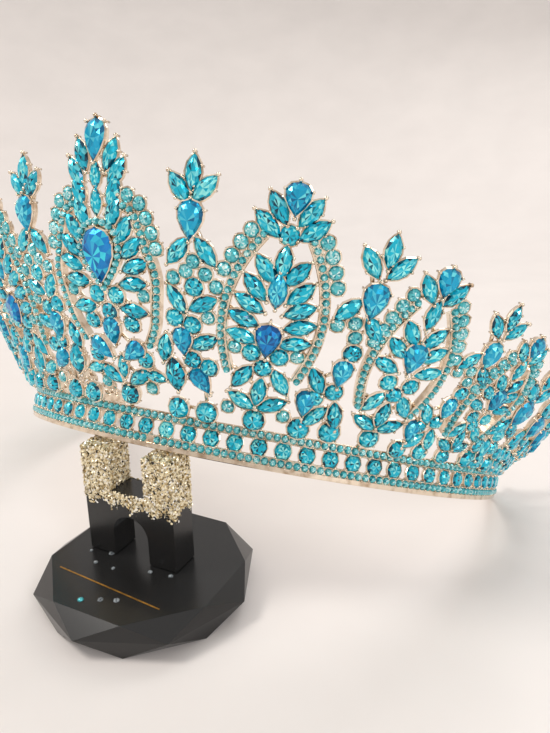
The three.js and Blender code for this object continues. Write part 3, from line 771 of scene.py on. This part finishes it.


# Each finish: the size and detail of its clouds, the stops of its colours, its settings and the range of its
# roughness. Without clouds, the colours follow the tone of each face, which paints light and shade on glass and
# glitter.
FINISHES = {
    # Cast zinc alloy, tumbled and plated pale gold. The eye sees bright, slightly uneven champagne metal; noise
    # mixes in patches of painted shade, the darker gilt.
    "gilt_zinc_casting": ((2.5, 3.0), ((0.2, "gilt_shade"), (0.55, "gilt")), {"Metallic": 1.0}, (0.1, 0.3)),
    # Cast acrylic sheet, cut and flame-polished. The eye sees deep black with clear reflections and faint
    # wipe marks.
    "black_acrylic": ((18, 4.0), ((0, "acrylic"), (1, "acrylic")), {"IOR": 1.4}, (0.0, 0.07)),
    # Metallised film cut to flakes and glued on. The eye sees pale gold that sparkles flake by flake; a random
    # tone per flake paints it from painted shade through glitter to a near-white painted glint.
    "gold_glitter": ((), ((0.0, "glitter_dull"), (0.5, "glitter"), (0.75, "glitter"), (0.95, "#fffffb")),
                     {"Metallic": 0.45, "Roughness": 0.22}, ()),
    # Gold film pressed on with heat. The eye sees a thin deep gold line, duller where the film is thin.
    "gilt_print": ((1.5, 2.0), ((0.3, "base_line", 0.5), (0.6, "base_line")),
                   {"Metallic": 0.5, "Roughness": 0.35}, ()),
    # Drops of clear glue, set hard. The eye sees small bright domes.
    "clear_glue": ((0.8, 2.0), ((0.35, "#3c4347"), (0.65, "#a3abaf")),
                   {"Roughness": 0.08, "IOR": 1.48}, ()),
    # Seamless background paper. The eye sees an even, pale, warm matt surface.
    "studio_paper": ((60, 3.0), ((0.3, "paper", 0.95), (0.7, "paper")), {"Roughness": 0.45}, ()),
    # Cut lead glass, polished and foiled at the back. The eye sees one colour broken up by facets, each of
    # which mirrors another part of the room, with dark outlines where the pavilion turns away. Each face's tone
    # paints this in: painted shade on the dark facets, painted reflections on the light ones.
    **{f"{tint}_foiled_glass": (
        (), ((0.1, f"{tint}_dark"), (0.42, f"{tint}_body"), (0.66, f"{tint}_body"), (0.95, f"{tint}_light")),
        {"Metallic": 0.5, "Roughness": 0.18, "IOR": 1.45, "Coat Weight": 0.42, "Coat Roughness": 0.02,
         "Coat IOR": 1.55}, ()) for tint in GLASS},
}


def finish(name):
    """The material of one of the finishes, made at its first use."""
    if name in bpy.data.materials:
        return bpy.data.materials[name]
    clouds, stops, settings, rough = FINISHES[name]
    material = bpy.data.materials.new(name)
    material.use_nodes = True
    material.diffuse_color = chosen(*stops[len(stops) // 2][1:])
    tree = material.node_tree
    tree.nodes.clear()
    if clouds:
        place = add_node(tree, "ShaderNodeTexCoord").outputs["Object"]
        source = add_node(tree, "ShaderNodeTexNoise", {"Scale": 1 / (clouds[0] * MM), "Detail": clouds[1]},
                          {"Vector": place}).outputs["Fac"]
    else:
        source = add_node(tree, "ShaderNodeAttribute", {"attribute_name": "tone"}).outputs["Fac"]
    links = {"Base Color": ramp(tree, source, stops)}
    if rough:
        links["Roughness"] = add_node(tree, "ShaderNodeMapRange", {"To Min": rough[0], "To Max": rough[1]},
                                      {"Value": source}).outputs["Result"]
    shader = add_node(tree, "ShaderNodeBsdfPrincipled", settings, links)
    add_node(tree, "ShaderNodeOutputMaterial", links={"Surface": shader.outputs["BSDF"]})
    return material


# The stand's trim

def post_faces():
    """Faces of the post's upper part, as corners and two edges in millimetres: front, back, sides and tops of
    both columns, and the front and back of the crossbar."""
    foot, half = BASE_HEIGHT + STAND_GAP, POST_WIDE / 2
    low, high, bar = foot + GLITTER_FROM, foot + POST_HEIGHT, foot + CROSSBAR_HIGH
    near, far, inner = POST_SET_BACK - POST_THICK / 2, POST_SET_BACK + POST_THICK / 2, half - COLUMN_WIDE
    flats = [(x, y, low, wide, 0, tall) for y in (near, far) for x, wide, tall in (
        (-half, COLUMN_WIDE, high - low), (inner, COLUMN_WIDE, high - low), (-inner, 2 * inner, bar - low))]
    flats += [(x, near, low, 0, POST_THICK, high - low) for x in (-half, half)]
    flats += [(x, near, bar, 0, POST_THICK, high - bar) for x in (-inner, inner)]
    flats += [(x, near, high, COLUMN_WIDE, POST_THICK, 0) for x in (-half, inner)]
    corners, sizes = np.split(np.array(flats), 2, axis=1)
    edges = (np.eye(3) * sizes[:, None])[sizes > 0].reshape(-1, 2, 3)
    return corners - (POST_ASIDE, 0, 0), edges[:, 0], edges[:, 1]


def glitter_flakes(count, size):
    """Flakes on the post: six-cornered plates that lie roughly flat, crowded above and ragged below."""
    draw = np.random.default_rng(5)
    corners, first, second = post_faces()
    normals = np.cross(first, second)
    area = np.linalg.norm(normals, axis=1, keepdims=True)
    picked = draw.choice(len(corners), count, p=area[:, 0] / area.sum())
    u, v = draw.random((2, count, 1))
    places = corners[picked] + first[picked] * u + second[picked] * v + draw.normal(0, 0.1, (count, 3))
    above, waves, ragged = GLITTER_EDGE
    edge = (GLITTER_FROM + BASE_HEIGHT + above
            + waves * np.sin(places[:, 0] * 0.9) * np.cos(places[:, 1] * 0.7 + 1))
    kept = places[:, 2] > edge + draw.normal(0, ragged, count)
    loose = draw.normal(size=(count, 3, 3))
    loose[:, :, 0] = (normals / area)[picked] + 0.45 * loose[:, :, 0]
    axes = np.linalg.qr(loose[kept])[0][:, :, [1, 2, 0]]
    axes *= np.sign(np.linalg.det(axes))[:, None, None]
    angle = np.pi / 3 * np.arange(6)
    plate = np.vstack([zipped(np.cos(angle), np.sin(angle), 0), [[0, 0, -0.16], [0, 0, 0.16]]])
    sizes = np.repeat(size / 2 * draw.uniform(0.75, 1.15, (len(axes), 1)), 3, axis=1)
    vertices, triangles, _, _ = scattered((plate, stack_faces(6, (0,))), axes, places[kept], sizes)
    # Each flake's random tone paints it with painted shade, plain glitter or a near-white painted glint
    return soup(vertices, triangles, np.repeat(draw.random(len(axes)), 12))


def base_line():
    """A plain gilt line printed on the base, a thin box on the top face."""
    corners = [(x, y + aside, BASE_HEIGHT + z)
               for x, y in LINE_ENDS for aside in (-0.2, 0.2) for z in (0.0, 0.06)]
    return soup(corners, ((0, 2, 3), (0, 3, 1), (4, 5, 7), (4, 7, 6), (0, 1, 5), (0, 5, 4), (2, 6, 7),
                          (2, 7, 3), (0, 4, 6), (0, 6, 2), (1, 3, 7), (1, 7, 5)))


def drops_on_base(places, radius):
    """Low domes on the base's top face, each a flattened ball of its own width."""
    places = np.array([(x, y, BASE_HEIGHT) for x, y in places])
    widths = radius * np.linspace(0.75, 1.15, len(places))[:, None]
    return scattered(ball(), np.tile(np.eye(3), (len(places), 1, 1)), places, widths * (1, 1, 0.6), 1)


# Operators

class CROWN_OT_metalwork(bpy.types.Operator):
    """Rails of the band, strips of the arches, cups, claws and solder wires, which are one soldered piece"""
    bl_idname = "crown.metalwork"
    bl_label = "Soldered metalwork"

    def execute(self, context):
        sizes = context.scene.crown_sizes
        wall, claw, tiny = sizes.cup_wall / MM, sizes.claw / MM, sizes.row_stone / MM
        half, deep = sizes.strip / MM / 2, sizes.strip_depth / MM
        parts, beads = [], []
        for middle, lip in ((-RAIL_MIDDLE, BAND_LIP), (RAIL_MIDDLE, 0.0)):
            parts.append(rail(middle, lip))
            beads.append(row_beads(*rail_row(middle, sizes.rail_stones), BAND_RAIL / 2 - 0.35, 0.3))
        paths = strip_paths(tiny * ROW_PITCH)
        for _, inner, path in paths:
            parts.append(strip(*path, inner, half, deep))
            beads.append(row_beads(*strip_row(*path, inner, deep), half - 0.45, 0.28))
        stones, band = chart_stones(), band_stones()
        crests = [stone for stone in stones if stone.kind == "crestPear"]
        others = [stone for stone in stones if stone.kind != "crestPear"]
        hearts = [stone for stone in stones if stone.kind == "heartPear"]
        parts += [cups(stones, wall), cups(band, 0.3), claws(others, claw), claws(crests, claw, True),
                  claws(band, claw * 1.05), solder_wires(stones, paths, sizes.wire / MM / 2),
                  halo_plate(hearts, HALO_GROWN * tiny)]
        make_piece("crown_metalwork", joined(parts), "gilt_metal", "gilt_zinc_casting", ["crown_frame"])
        make_piece("row_beads", joined(beads), "gilt_metal", "gilt_zinc_casting")
        return {"FINISHED"}


class CROWN_OT_band_stones(bpy.types.Operator):
    """The round stones between the rails of the band"""
    bl_idname = "crown.band_stones"
    bl_label = "Band stones"

    def execute(self, context):
        make_glass("band_stones", cut_stones(band_stones(), 3), "aqua")
        return {"FINISHED"}


class CROWN_OT_motif_stones(bpy.types.Operator):
    """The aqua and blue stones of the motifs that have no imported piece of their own"""
    bl_idname = "crown.motif_stones"
    bl_label = "Stones of the motifs"

    def execute(self, context):
        for name, tint, seed in (("aqua", "aqua", 11), ("pale", "pale", 13), ("blue", "azure", 12)):
            free = [stone for stone in chart_stones() if not stone.own and tint_of(stone) == tint]
            make_glass(f"{name}_motif_stones", cut_stones(free, seed), tint)
        return {"FINISHED"}


class CROWN_OT_main_stones(bpy.types.Operator):
    """The main stones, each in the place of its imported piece"""
    bl_idname = "crown.main_stones"
    bl_label = "Main stones"

    def execute(self, context):
        main = [stone for stone in chart_stones() if stone.own]
        for seed, stone in enumerate(main, 100):
            made = cut_stones([stone], seed, 16)
            make_glass(f"{stone.own}_cut", made, tint_of(stone), replaced=[stone.own])
        return {"FINISHED"}


class CROWN_OT_tiny_stones(bpy.types.Operator):
    """Tiny stones in rows on the rails and the strips, and in a ring round the front's large pear"""
    bl_idname = "crown.tiny_stones"
    bl_label = "Tiny stones"

    def execute(self, context):
        sizes = context.scene.crown_sizes
        size, deep = sizes.row_stone / MM, sizes.strip_depth / MM
        draw = np.random.default_rng(21)
        soups = []
        for middle in (-RAIL_MIDDLE, RAIL_MIDDLE):
            axes, origins = rail_row(middle, sizes.rail_stones)
            if middle < 0:
                lost = int((MISSING_TINY / BAND_HALF_TURN + 1) / 2 * len(axes))
                axes, origins = np.delete(axes, lost, 0), np.delete(origins, lost, 0)
            soups.append(tiny_stones(axes, origins, BAND_RAIL * TINY_ON_RAIL, 0.75, draw))
        for _, inner, path in strip_paths(size * ROW_PITCH):
            soups.append(tiny_stones(*strip_row(*path, inner, deep), size, 0.8, draw))
        heart = next(stone for stone in chart_stones() if stone.kind == "heartPear")
        axes, origins = halo(heart, size * HALO_ASIDE, size * HALO_PITCH)
        soups.append(tiny_stones(axes, origins + axes[:, :, 2] * 0.9, size, 0.7, draw))
        make_glass("tiny_stones", joined(soups), "pale")
        return {"FINISHED"}


class CROWN_OT_stand(bpy.types.Operator):
    """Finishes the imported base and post, and adds the glitter and the small trim"""
    bl_idname = "crown.stand"
    bl_label = "Stand"

    def execute(self, context):
        sizes = context.scene.crown_sizes
        for name in ("stand_base", "stand_post"):
            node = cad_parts[name]
            node.data.materials.clear()
            node.data.materials.append(finish("black_acrylic"))
        flakes = glitter_flakes(sizes.flakes, sizes.flake / MM)
        make_piece("post_glitter", flakes, "gilt_metal", "gold_glitter", upright=True)
        make_piece("base_line", base_line(), "gilt_metal", "gilt_print", upright=True)
        make_piece("glue_drops", drops_on_base(GLUE_DROPS, 0.85), "aqua_glass", "clear_glue", upright=True)
        make_glass("loose_stone", drops_on_base(LOOSE_STONE, 1.3), "pale", upright=True)
        return {"FINISHED"}


class CROWN_OT_stage(bpy.types.Operator):
    """A pale floor that curves up into a backdrop all round, soft lights and the camera"""
    bl_idname = "crown.stage"
    bl_label = "Stage"

    def execute(self, context):
        scene, stage = context.scene, context.scene.crown_stage
        make_floor()
        aim = Vector((0.0, 0.03, 0.06))
        for name, place, size, power, colour in (
            ("key_light", (-0.5, -0.3, 0.85), 0.3, stage.key_light, "#fffaf4"),
            ("fill_light", (0.75, -0.45, 0.5), 0.25, stage.fill_light, "#f6f9ff"),
            ("back_light", (0.1, 0.7, 0.7), 0.5, stage.fill_light, "#ffffff"),
        ):
            light = bpy.data.lights.new(name, "AREA")
            light.shape, light.size, light.energy = "DISK", size, power
            light.color = linear(colour)[:3]
            lamp = new_object(name, light)
            lamp.location = place
            lamp.rotation_euler = (aim - lamp.location).to_track_quat("-Z", "Y").to_euler()
        world = bpy.data.worlds.new("studio_air")
        world.use_nodes = True
        air = world.node_tree.nodes["Background"].inputs
        air["Color"].default_value, air["Strength"].default_value = linear("#fbf7f4"), stage.sky
        scene.world = world
        scene.view_settings.view_transform = "Standard"
        make_camera(scene, stage.lens)
        return {"FINISHED"}


def make_floor():
    """A dish: flat out to a radius, then a bend up to a slope, then straight on, each turned round Z."""
    flat, bend, slope, rest, around = 600, 400, math.radians(42), 1600, 96
    angle = np.linspace(0, slope, 9)
    radius = np.r_[0, flat / 2, flat + bend * np.sin(angle)]
    height = np.r_[0, 0, bend * (1 - np.cos(angle))]
    radius = np.r_[radius, radius[-1] + rest * math.cos(slope)][:, None]
    height = np.r_[height, height[-1] + rest * math.sin(slope)][:, None]
    turn = np.linspace(0, 2 * np.pi, around, endpoint=False)
    grid = zipped(radius * np.cos(turn), radius * np.sin(turn), height)
    i, j = np.meshgrid(around * np.arange(len(radius) - 1), np.arange(around), indexing="ij")
    n = (j + 1) % around
    faces = zipped(i + j, i + around + j, i + around + n, i + n).reshape(-1, 4)
    floor = new_mesh("floor_and_backdrop", grid.reshape(-1, 3), faces, np.ones(len(faces)), "studio_paper")


def make_camera(scene, lens):
    """The camera of the photo, in its fitted place and direction."""
    azimuth, pitch, roll = (math.radians(turn) for turn in CAMERA_TURNS)
    level = Vector((-math.sin(azimuth), math.cos(azimuth), 0))
    ahead = level * math.cos(pitch) - Vector((0, 0, math.sin(pitch)))
    right = Vector((math.cos(azimuth), math.sin(azimuth), 0))
    turned = right * math.cos(roll) + right.cross(ahead) * math.sin(roll)
    axes = Matrix((turned, turned.cross(ahead), -ahead)).transposed()
    place = Vector((-POST_ASIDE, BEHIND_POST, LIFT)) + Vector(CAMERA_FROM_CROWN)
    data = bpy.data.cameras.new("photo_camera")
    data.lens, data.sensor_width, data.clip_start = lens, 36.0, 0.01
    camera = new_object("photo_camera", data)
    camera.matrix_world = Matrix.Translation(place * MM) @ axes.to_4x4()
    scene.camera = camera


class CROWN_PT_panel(bpy.types.Panel):
    """Sizes, colours and the steps of the crown"""
    bl_label = "Pageant crown"
    bl_space_type = "VIEW_3D"
    bl_region_type = "UI"
    bl_category = "Crown"

    def draw(self, context):
        for settings, cls in SETTINGS.items():
            box = self.layout.box()
            for name in cls.__annotations__:
                box.prop(getattr(context.scene, settings), name)
        for operator in OPERATORS:
            self.layout.operator(operator.bl_idname)


OPERATORS = (CROWN_OT_metalwork, CROWN_OT_band_stones, CROWN_OT_motif_stones, CROWN_OT_main_stones,
             CROWN_OT_tiny_stones, CROWN_OT_stand, CROWN_OT_stage)
SETTINGS = {"crown_sizes": CrownSizes, "crown_colours": CrownColours, "crown_stage": StageSettings}
CLASSES = (*SETTINGS.values(), *OPERATORS, CROWN_PT_panel)


def register():
    for cls in CLASSES:
        bpy.utils.register_class(cls)
    for name, cls in SETTINGS.items():
        setattr(bpy.types.Scene, name, bpy.props.PointerProperty(type=cls))


def unregister():
    for name in SETTINGS:
        delattr(bpy.types.Scene, name)
    for cls in reversed(CLASSES):
        bpy.utils.unregister_class(cls)


def main():
    """Registers the add-on and runs each step in order."""
    register()
    for operator in OPERATORS:
        family, name = operator.bl_idname.split(".")
        getattr(getattr(bpy.ops, family), name)()
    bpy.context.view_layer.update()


if __name__ == "__main__":
    main()
